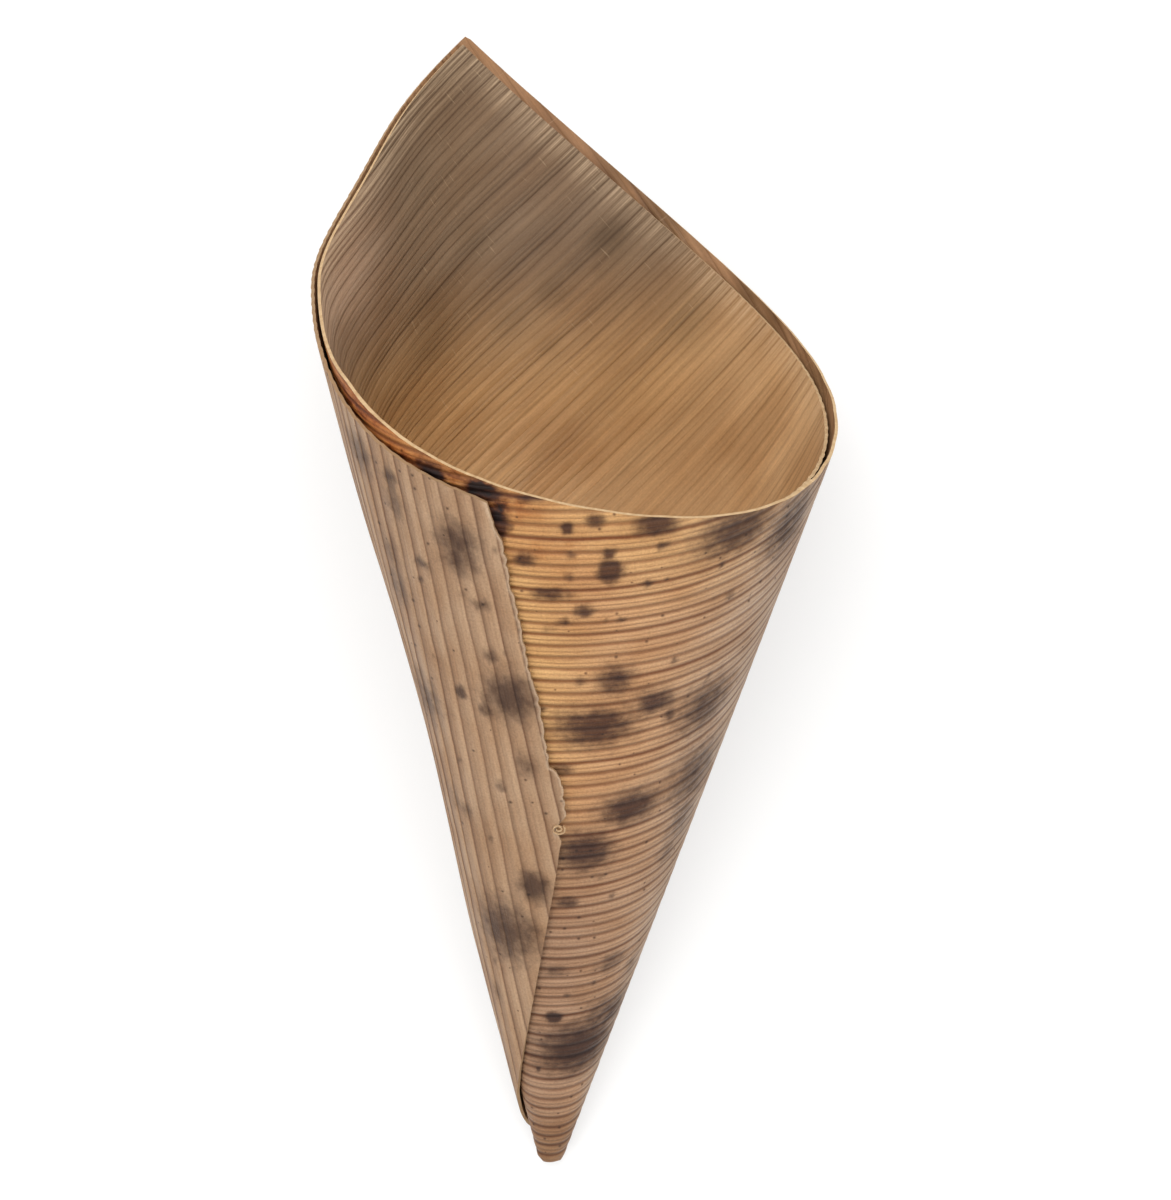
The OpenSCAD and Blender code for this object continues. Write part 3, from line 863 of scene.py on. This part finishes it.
# %% Cut edge finish
pith = finish_tree("dried_bamboo_sheath_cut_edge")
flat = add(pith, "UVMap", {}, uv_map="flat_leaf")
ends = add(pith, "TexNoise", {"Scale": 1.0, "Detail": 2.0, "Vector": add(
    pith, "Mapping", {"Vector": flat, "Scale": (1.2, 3.0, 1.0)})})
cream = add(pith, "Mix", {SHARE: ends, BELOW: "#d8bd95", ABOVE: "#a27c52"}, data_type="RGBA")
handled = add(pith, "VertexColor", {}, layer_name="laps")
cream = add(pith, "Mix", {SHARE: add(pith, "Math", {0: handled, 1: 0.7}, operation="MULTIPLY"),
                          BELOW: cream.outputs[RESULT], ABOVE: "#86684c"}, data_type="RGBA")
surface = add(pith, "BsdfPrincipled", {"Base Color": cream.outputs[RESULT],
                                       "Roughness": 0.8, "Specular IOR Level": 0.2})
add(pith, "OutputMaterial", {"Surface": surface})
print("materials on the sheet:", [m.name for m in mesh.materials])

# %% [markdown]
# The finished sheet takes the place of the CAD solid, which stays in the physics.

# %% Place the sheet
sheet = bpy.data.objects.new("leaf_sheet", mesh)
bpy.context.scene.collection.objects.link(sheet)
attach(sheet, "root")
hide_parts("rolled_leaf")
print("sheet size, mm:", [round(v * 1000, 1) for v in sheet.dimensions])

# %% [markdown]
# At the notch in the torn margin one fibre has come loose and curled up like a watch
# spring, lying on the leaf. It follows a spiral in the flat, carried to the cone as the
# leaf is. A curve with a bevel would be quicker, but a dry fibre is a flat strip, so each
# step of the spiral gets the four corners of a thin upright strip.

# %% Torn fibre
FIBRE_MIDDLE = (65.0, -13.1)
FIBRE_TURNS, FIBRE_WIDTH, FIBRE_THICKNESS, FIBRE_STEPS = 1.6, 0.34, 0.13, 48
OUTER_REACH, INNER_REACH, FIBRE_START = 0.82, 0.22, math.radians(-60)
ON_THE_LEAF = 0.24
wound = np.linspace(0, 1, FIBRE_STEPS)
swing = FIBRE_START - wound * FIBRE_TURNS * 2 * math.pi
corners = []
for inward, high in ((-1, 0), (1, 0), (1, 1), (-1, 1)):
    reach = OUTER_REACH + (INNER_REACH - OUTER_REACH) * wound + inward * FIBRE_THICKNESS / 2
    corners.append(rolled(FIBRE_MIDDLE[0] + reach * np.cos(swing),
                          FIBRE_MIDDLE[1] + reach * np.sin(swing),
                          ON_THE_LEAF + high * FIBRE_WIDTH * (1 - 0.5 * wound)))
fibre_points = np.stack(corners, axis=1).reshape(-1, 3)
fibre_faces = [[3, 2, 1, 0], [4 * FIBRE_STEPS - 4 + k for k in range(4)]]
for k in range(FIBRE_STEPS - 1):
    for side in range(4):
        after = (side + 1) % 4
        fibre_faces.append([4 * k + side, 4 * k + after, 4 * k + 4 + after, 4 * k + 4 + side])
fibre_mesh = bpy.data.meshes.new("torn_fibre")
fibre_mesh.from_pydata(fibre_points.tolist(), [], fibre_faces)
print("fibre length, mm:", round(FIBRE_TURNS * math.pi * (OUTER_REACH + INNER_REACH), 1))

# %% Torn fibre: finish and place
dry_fibre = bpy.data.materials.new("dry_bamboo_fibre")
dry_fibre.use_nodes = True
tree = dry_fibre.node_tree
tree.nodes.clear()
place = add(tree, "TexCoord", {})
strands = add(tree, "TexNoise", {"Scale": 1.0, "Detail": 2.0, "Vector": add(
    tree, "Mapping", {"Vector": place.outputs["Object"], "Scale": (2500.0, 2500.0, 2500.0)})})
straw = add(tree, "Mix", {SHARE: strands, BELOW: "#d2b690", ABOVE: "#8d6844"},
            data_type="RGBA")
add(tree, "OutputMaterial", {"Surface": add(tree, "BsdfPrincipled", {
    "Base Color": straw.outputs[RESULT], "Roughness": 0.7, "Specular IOR Level": 0.25})})
fibre_mesh.materials.append(dry_fibre)
torn_fibre = bpy.data.objects.new("torn_fibre", fibre_mesh)
bpy.context.scene.collection.objects.link(torn_fibre)
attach(torn_fibre, "root")
print("fibre size, mm:", [round(v * 1000, 1) for v in torn_fibre.dimensions])

# %% [markdown]
# The table is a plain pale surface. The camera sees it almost white, with only the soft
# shadow of the cone, and it still throws its own light back on the leaf.

# %% Floor
bpy.ops.mesh.primitive_plane_add(size=4.0, location=(0, 0, 0))
floor = bpy.context.object
floor.name = "floor"
table = bpy.data.materials.new("pale_table")
table.use_nodes = True
table.node_tree.nodes.clear()
seen = add(table.node_tree, "LightPath", {})
matt = add(table.node_tree, "BsdfDiffuse", {"Color": "#f4f3f1"})
glow = add(table.node_tree, "Emission", {"Color": "#ffffff", "Strength": 1.0})
share = add(table.node_tree, "Math", {0: seen.outputs["Is Camera Ray"], 1: 0.6},
            operation="MULTIPLY")
both = add(table.node_tree, "MixShader", {0: share, 1: matt, 2: glow})
add(table.node_tree, "OutputMaterial", {"Surface": both})
floor.data.materials.append(table)
print("floor:", floor.name)

# %% [markdown]
# Light. Wide soft boxes stand above and to the sides, as in a small product studio, and
# the world fills the shadows, so that a colour looks about as it is written.

# %% Lamps and world
LIT_POINT = (0, 0, 0.03)


def soft_box(name, place, size, watts):
    """A square area lamp that points at the middle of the cone."""
    lamp = bpy.data.lights.new(name, "AREA")
    lamp.shape, lamp.size, lamp.energy = "SQUARE", size, watts
    holder = bpy.data.objects.new(name, lamp)
    holder.location = place
    toward = Vector(LIT_POINT) - Vector(place)
    holder.rotation_euler = toward.to_track_quat("-Z", "Y").to_euler()
    bpy.context.scene.collection.objects.link(holder)


soft_box("key", (-0.06, 0.40, 0.75), 0.5, 5.0)
soft_box("left", (-0.5, -0.25, 0.6), 0.6, 2.5)
soft_box("right", (0.5, -0.25, 0.6), 0.6, 2.5)
world = bpy.data.worlds.new("studio")
bpy.context.scene.world = world
world.use_nodes = True
world.node_tree.nodes.clear()
sky = add(world.node_tree, "Background", {"Color": "#ffffff", "Strength": 0.48})
add(world.node_tree, "OutputWorld", {"Surface": sky})
bpy.context.scene.view_settings.view_transform = "Standard"

# %% [markdown]
# The camera looks down on the lying cone from close by, so the mouth is drawn larger
# than the tip. Its place was found by fitting the rolled sheet to the outline in the
# photo.

# %% Camera
PITCH, ROLL = math.radians(19.76), math.radians(2.82)
# From the tip of the cone, mm: to the right, up and back
EYE_RIGHT, EYE_UP, EYE_BACK = 5.24, 81.16, 359.5
forward = np.array([0, math.cos(PITCH), -math.sin(PITCH)])
sideways, upward = np.array([1.0, 0, 0]), np.array([0, math.sin(PITCH), math.cos(PITCH)])
right = math.cos(ROLL) * sideways + math.sin(ROLL) * upward
up = math.cos(ROLL) * upward - math.sin(ROLL) * sideways
eye = (EYE_RIGHT * right + EYE_UP * up - EYE_BACK * forward) @ LYING.T - LYING_POINT
camera_data = bpy.data.cameras.new("camera")
camera_data.lens = 79.06
camera = bpy.data.objects.new("camera", camera_data)
turned = Matrix(np.stack([LYING @ right, LYING @ up, -(LYING @ forward)], axis=1).tolist())
camera.matrix_world = Matrix.Translation(Vector(eye * MM)) @ turned.to_4x4()
bpy.context.scene.collection.objects.link(camera)
bpy.context.scene.camera = camera
print("camera, mm:", np.round(eye, 1))
